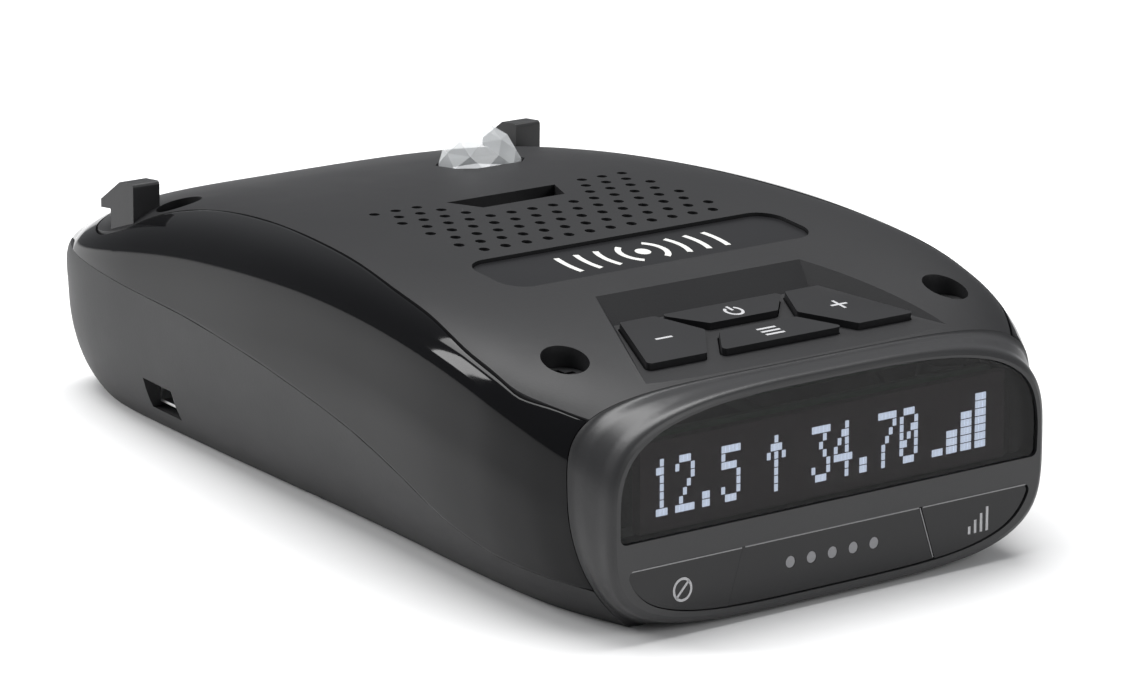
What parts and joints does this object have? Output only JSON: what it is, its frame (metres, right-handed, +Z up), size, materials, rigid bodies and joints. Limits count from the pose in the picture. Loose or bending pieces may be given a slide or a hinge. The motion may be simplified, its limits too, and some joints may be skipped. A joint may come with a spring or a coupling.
{
  "type": "radar detector",
  "caption": "Low dash-top radar detector with a lit text display, keys on the roof, a speaker grille, a clear laser lens and windscreen posts.",
  "frame": {"origin": "middle of the flat base, half way along the length", "axes": "+Z up from the base, +Y towards the windscreen end, the display faces -Y"},
  "size_m": [0.0838, 0.1226, 0.0376],
  "materials": {
    "matte_case": "fine matte grain",
    "gloss_shell": "piano gloss",
    "roof_plastic": "satin grain",
    "bezel_plastic": "satin",
    "dark_window": "polished dark tint",
    "display_glass": "polished",
    "circuit_board": "solder mask",
    "button_gloss": "polished",
    "lamp_plastic": "frosted",
    "key_plastic": "satin",
    "soft_rubber": "matte",
    "white_rubber": "matte",
    "switch_plastic": "matte",
    "plate_gloss": "satin gloss",
    "black_cloth": "woven",
    "crystal": "polished clear",
    "tin_plate": "tinned",
    "black_steel": "black oxide",
    "cone_paper": "pressed paper",
    "magnet_steel": "plated",
    "cast_alloy": "die cast",
    "chip_epoxy": "moulded epoxy",
    "flat_cable": "polyimide film",
    "label_film": "blank film"
  },
  "bodies": {
    "body": {"badge_plate": "plate_gloss", "base_label": "label_film", "board_screws": "tin_plate", "bracket_guide": "matte_case", "bracket_spring": "tin_plate", "case_screws": "black_steel", "display_board": "circuit_board", "display_flex": "flat_cable", "display_window": "dark_window", "front_bezel": "bezel_plastic", "front_button_board": "circuit_board", "front_switches": "switch_plastic", "grille_cloth": "black_cloth", "horn_antenna": "cast_alloy", "indicator_lenses": "lamp_plastic", "indicator_strip": "button_gloss", "key_board": "circuit_board", "key_membrane": "white_rubber", "key_switches": "switch_plastic", "laser_lens": "crystal", "laser_sensor": "chip_epoxy", "left_windscreen_post": "soft_rubber", "lower_case": "matte_case", "main_board": "circuit_board", "oled_panel": "display_glass", "power_jack": "switch_plastic", "processor": "chip_epoxy", "rf_shield": "tin_plate", "right_windscreen_post": "soft_rubber", "speaker_cone": "cone_paper", "speaker_frame": "black_steel", "speaker_magnet": "magnet_steel", "top_panel": "roof_plastic", "upper_shell": "gloss_shell", "usb_connector": "tin_plate"},
    "mute_button": {"mute_button": "button_gloss"},
    "city_button": {"city_button": "button_gloss"},
    "volume_down_key": {"volume_down_key": "key_plastic"},
    "volume_up_key": {"volume_up_key": "key_plastic"},
    "power_key": {"power_key": "key_plastic"},
    "menu_key": {"menu_key": "key_plastic"}
  },
  "joints": [
    {"name": "mute_press", "type": "slide", "parent": "body", "child": "mute_button", "axis": [0, 0.9971, -0.0767], "range_m": [0, 0.0004], "stiffness_N_per_m": 900, "springref_m": -0.0008},
    {"name": "city_press", "type": "slide", "parent": "body", "child": "city_button", "axis": [0, 0.9971, -0.0767], "range_m": [0, 0.0004], "stiffness_N_per_m": 900, "springref_m": -0.0008},
    {"name": "volume_down_press", "type": "slide", "parent": "body", "child": "volume_down_key", "axis": [0, 0.0916, -0.9958], "range_m": [0, 0.00045], "stiffness_N_per_m": 700, "springref_m": -0.0008},
    {"name": "volume_up_press", "type": "slide", "parent": "body", "child": "volume_up_key", "axis": [0, 0.0916, -0.9958], "range_m": [0, 0.00045], "stiffness_N_per_m": 700, "springref_m": -0.0008},
    {"name": "power_press", "type": "slide", "parent": "body", "child": "power_key", "axis": [0, 0.0916, -0.9958], "range_m": [0, 0.00045], "stiffness_N_per_m": 700, "springref_m": -0.0008},
    {"name": "menu_press", "type": "slide", "parent": "body", "child": "menu_key", "axis": [0, 0.0916, -0.9958], "range_m": [0, 0.00045], "stiffness_N_per_m": 700, "springref_m": -0.0008}
  ]
}
